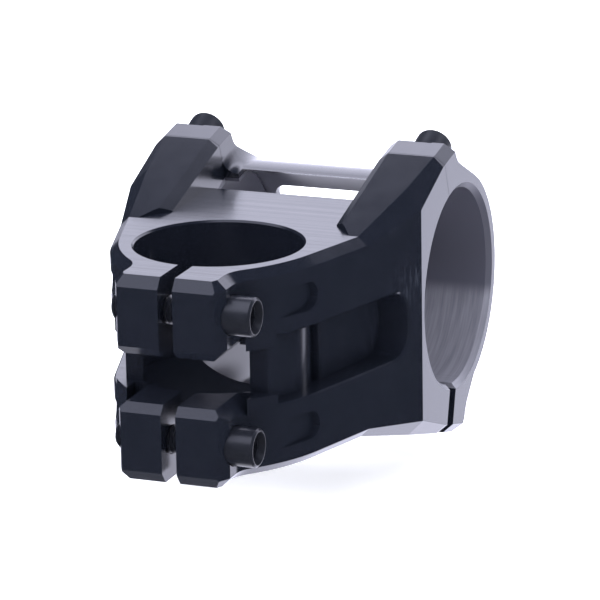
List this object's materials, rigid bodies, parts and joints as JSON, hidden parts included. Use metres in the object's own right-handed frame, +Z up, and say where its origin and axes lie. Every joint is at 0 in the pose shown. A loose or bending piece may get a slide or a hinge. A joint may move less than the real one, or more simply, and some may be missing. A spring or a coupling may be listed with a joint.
{
  "type": "bicycle handlebar stem",
  "caption": "Short machined handlebar stem with a slotted steerer clamp at the rear, a wide bolted bar clamp at the front and open pockets in its flanks.",
  "frame": {"origin": "on the steerer axis, at half the height of the steerer clamp", "axes": "+X forward to the handlebar, +Y to the rider's left along the bar, +Z up the steerer"},
  "size_m": [0.0887, 0.054, 0.0551],
  "materials": {
    "anodised_body": "black anodised, machined, semi-gloss",
    "anodised_plate": "black anodised, machined, semi-gloss",
    "bolt_steel": "black oxide, semi-gloss"
  },
  "bodies": {
    "stem": {"stem_body": "anodised_body", "faceplate": "anodised_plate"},
    "faceplate_bolt_upper_left": {"faceplate_bolt_upper_left": "bolt_steel"},
    "faceplate_bolt_lower_left": {"faceplate_bolt_lower_left": "bolt_steel"},
    "faceplate_bolt_upper_right": {"faceplate_bolt_upper_right": "bolt_steel"},
    "faceplate_bolt_lower_right": {"faceplate_bolt_lower_right": "bolt_steel"},
    "steerer_bolt_upper": {"steerer_bolt_upper": "bolt_steel"},
    "steerer_bolt_lower": {"steerer_bolt_lower": "bolt_steel"}
  },
  "joints": [
    {"name": "faceplate_bolt_upper_left_travel", "type": "slide", "parent": "stem", "child": "faceplate_bolt_upper_left", "axis": [0.9455, 0, 0.3256], "range_m": [0, 0.0128]},
    {"name": "faceplate_bolt_lower_left_travel", "type": "slide", "parent": "stem", "child": "faceplate_bolt_lower_left", "axis": [0.9655, 0, -0.2605], "range_m": [0, 0.0104]},
    {"name": "faceplate_bolt_upper_right_travel", "type": "slide", "parent": "stem", "child": "faceplate_bolt_upper_right", "axis": [0.9455, 0, 0.3256], "range_m": [0, 0.0128]},
    {"name": "faceplate_bolt_lower_right_travel", "type": "slide", "parent": "stem", "child": "faceplate_bolt_lower_right", "axis": [0.9655, 0, -0.2605], "range_m": [0, 0.0104]},
    {"name": "steerer_bolt_upper_travel", "type": "slide", "parent": "stem", "child": "steerer_bolt_upper", "axis": [0, -1, 0], "range_m": [0, 0.0096]},
    {"name": "steerer_bolt_lower_travel", "type": "slide", "parent": "stem", "child": "steerer_bolt_lower", "axis": [0, -1, 0], "range_m": [0, 0.0096]}
  ]
}
